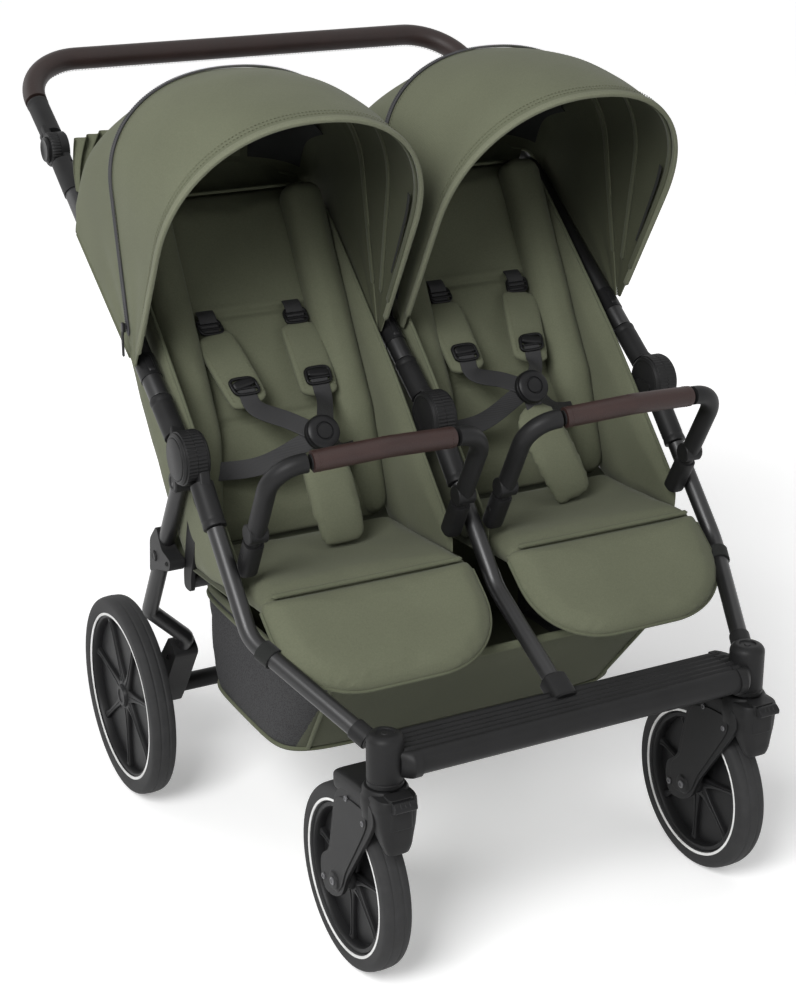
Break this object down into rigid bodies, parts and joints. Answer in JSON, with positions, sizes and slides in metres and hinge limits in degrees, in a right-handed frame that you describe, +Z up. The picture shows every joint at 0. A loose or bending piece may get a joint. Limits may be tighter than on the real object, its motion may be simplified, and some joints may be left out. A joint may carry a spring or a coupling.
{
  "type": "double pushchair",
  "caption": "Side-by-side double pushchair: folding tube frame, swivel front castors, two seats with canopies, bumper bars and harnesses, one padded handle and one basket.",
  "frame": {"origin": "on the floor, at the middle of the bounding box in plan", "axes": "X to the right across both seats, Y from the front castors to the handle, Z up"},
  "size_m": [0.744, 1.0364, 1.0463],
  "materials": {
    "tyre": "black moulded tyre, matt",
    "rim": "black moulded plastic wheel",
    "olive_fabric": "olive woven polyester",
    "basket_fabric": "olive woven fabric with dark mesh sides",
    "leather": "dark brown leather-like cover",
    "frame_paint": "satin black powder coat",
    "black_plastic": "fine-grained black plastic"
  },
  "bodies": {
    "chassis": {"front_crossbar": "black_plastic", "castor_post_left": "black_plastic", "castor_post_right": "black_plastic", "front_tube_left": "frame_paint", "front_tube_centre": "frame_paint", "front_tube_right": "frame_paint", "hinge_lower_left": "black_plastic", "hinge_lower_centre": "black_plastic", "hinge_lower_right": "black_plastic", "seat_crossbar": "frame_paint", "basket": "basket_fabric", "seat_liner_left": "olive_fabric", "seat_liner_right": "olive_fabric", "crotch_pad_left": "olive_fabric", "crotch_pad_right": "olive_fabric"},
    "upper_frame": {"upper_tube_left": "frame_paint", "upper_tube_centre": "frame_paint", "upper_tube_right": "frame_paint", "hinge_upper_left": "black_plastic", "hinge_upper_centre": "black_plastic", "hinge_upper_right": "black_plastic", "back_crossbar": "frame_paint", "canopy_rear_left": "olive_fabric", "canopy_rear_right": "olive_fabric", "harness_left": "olive_fabric", "harness_right": "olive_fabric", "buckle_left": "black_plastic", "buckle_right": "black_plastic"},
    "handle": {"handle_grip": "leather", "handle_arm_left": "black_plastic", "handle_arm_right": "black_plastic"},
    "rear_frame": {"rear_leg_left": "frame_paint", "rear_leg_right": "frame_paint", "rear_axle": "black_plastic"},
    "brake": {"brake_pedal": "black_plastic"},
    "button_left": {"handle_button_left": "black_plastic"},
    "backrest_left": {"backrest_left": "olive_fabric"},
    "leg_rest_left": {"leg_rest_left": "olive_fabric"},
    "bumper_left": {"bumper_bar_left": "black_plastic", "bumper_cover_left": "leather"},
    "canopy_left": {"canopy_front_left": "olive_fabric"},
    "castor_left": {"castor_fork_left": "black_plastic"},
    "castor_lock_left": {"castor_lock_left": "black_plastic"},
    "front_wheel_left": {"front_tyre_left": "tyre", "front_rim_left": "rim"},
    "rear_wheel_left": {"rear_tyre_left": "tyre", "rear_rim_left": "rim"},
    "button_right": {"handle_button_right": "black_plastic"},
    "backrest_right": {"backrest_right": "olive_fabric"},
    "leg_rest_right": {"leg_rest_right": "olive_fabric"},
    "bumper_right": {"bumper_bar_right": "black_plastic", "bumper_cover_right": "leather"},
    "canopy_right": {"canopy_front_right": "olive_fabric"},
    "castor_right": {"castor_fork_right": "black_plastic"},
    "castor_lock_right": {"castor_lock_right": "black_plastic"},
    "front_wheel_right": {"front_tyre_right": "tyre", "front_rim_right": "rim"},
    "rear_wheel_right": {"rear_tyre_right": "tyre", "rear_rim_right": "rim"}
  },
  "joints": [
    {"name": "frame_fold", "type": "hinge", "parent": "chassis", "child": "upper_frame", "pos_m": [0, -0.10324, 0.5955], "axis": [1, 0, 0], "range_deg": [0, 140], "deforming": ["canopy_rear_left", "canopy_rear_right", "canopy_front_left", "canopy_front_right", "harness_left", "harness_right", "crotch_pad_left", "crotch_pad_right"]},
    {"name": "rear_leg_fold", "type": "hinge", "parent": "chassis", "child": "rear_frame", "pos_m": [0, -0.06724, 0.552], "axis": [1, 0, 0], "range_deg": [-45, 0]},
    {"name": "handle_tilt", "type": "hinge", "parent": "upper_frame", "child": "handle", "pos_m": [0, 0.3458, 0.90707], "axis": [1, 0, 0], "range_deg": [-45, 45]},
    {"name": "recline_left", "type": "hinge", "parent": "upper_frame", "child": "backrest_left", "pos_m": [-0.175, -0.02765, 0.4328], "axis": [1, 0, 0], "range_deg": [-24, 0]},
    {"name": "canopy_fold_left", "type": "hinge", "parent": "upper_frame", "child": "canopy_left", "pos_m": [-0.19345, 0.02276, 0.67665], "axis": [1, 0, 0], "range_deg": [-43, 0]},
    {"name": "leg_rest_tilt_left", "type": "hinge", "parent": "chassis", "child": "leg_rest_left", "pos_m": [-0.175, -0.25354, 0.4525], "axis": [1, 0, 0], "range_deg": [-38, 0]},
    {"name": "bumper_swing_left", "type": "hinge", "parent": "chassis", "child": "bumper_left", "pos_m": [-0.175, -0.20924, 0.482], "axis": [1, 0, 0], "range_deg": [0, 46]},
    {"name": "handle_button_press_left", "type": "slide", "parent": "handle", "child": "button_left", "axis": [1, 0, 0], "range_m": [0, 0.0025], "stiffness_N_per_m": 800},
    {"name": "castor_swivel_left", "type": "hinge", "parent": "chassis", "child": "castor_left", "pos_m": [-0.26, -0.46324, 0.288], "axis": [0, 0, 1], "continuous": true},
    {"name": "castor_lock_slide_left", "type": "slide", "parent": "castor_left", "child": "castor_lock_left", "axis": [0, 0, -1], "range_m": [0, 0.006]},
    {"name": "front_wheel_spin_left", "type": "hinge", "parent": "castor_left", "child": "front_wheel_left", "pos_m": [-0.26, -0.38124, 0.12], "axis": [1, 0, 0], "continuous": true},
    {"name": "rear_wheel_spin_left", "type": "hinge", "parent": "rear_frame", "child": "rear_wheel_left", "pos_m": [-0.35, 0.17476, 0.1455], "axis": [1, 0, 0], "continuous": true},
    {"name": "recline_right", "type": "hinge", "parent": "upper_frame", "child": "backrest_right", "pos_m": [0.175, -0.02765, 0.4328], "axis": [1, 0, 0], "range_deg": [-24, 0]},
    {"name": "canopy_fold_right", "type": "hinge", "parent": "upper_frame", "child": "canopy_right", "pos_m": [0.19345, 0.02276, 0.67665], "axis": [1, 0, 0], "range_deg": [-43, 0]},
    {"name": "leg_rest_tilt_right", "type": "hinge", "parent": "chassis", "child": "leg_rest_right", "pos_m": [0.175, -0.25354, 0.4525], "axis": [1, 0, 0], "range_deg": [-38, 0]},
    {"name": "bumper_swing_right", "type": "hinge", "parent": "chassis", "child": "bumper_right", "pos_m": [0.175, -0.20924, 0.482], "axis": [1, 0, 0], "range_deg": [0, 46]},
    {"name": "handle_button_press_right", "type": "slide", "parent": "handle", "child": "button_right", "axis": [-1, 0, 0], "range_m": [0, 0.0025], "stiffness_N_per_m": 800},
    {"name": "castor_swivel_right", "type": "hinge", "parent": "chassis", "child": "castor_right", "pos_m": [0.26, -0.46324, 0.288], "axis": [0, 0, 1], "continuous": true},
    {"name": "castor_lock_slide_right", "type": "slide", "parent": "castor_right", "child": "castor_lock_right", "axis": [0, 0, -1], "range_m": [0, 0.006]},
    {"name": "front_wheel_spin_right", "type": "hinge", "parent": "castor_right", "child": "front_wheel_right", "pos_m": [0.26, -0.38124, 0.12], "axis": [1, 0, 0], "continuous": true},
    {"name": "rear_wheel_spin_right", "type": "hinge", "parent": "rear_frame", "child": "rear_wheel_right", "pos_m": [0.35, 0.17476, 0.1455], "axis": [1, 0, 0], "continuous": true},
    {"name": "brake_press", "type": "hinge", "parent": "rear_frame", "child": "brake", "pos_m": [0, 0.19306, 0.1455], "axis": [1, 0, 0], "range_deg": [-18, 0]}
  ],
  "couplings": [
    {"joint": "rear_leg_fold", "follows": "frame_fold", "ratio": -0.32143},
    {"joint": "bumper_swing_left", "follows": "frame_fold", "ratio": 0.32857},
    {"joint": "bumper_swing_right", "follows": "frame_fold", "ratio": 0.32857}
  ]
}
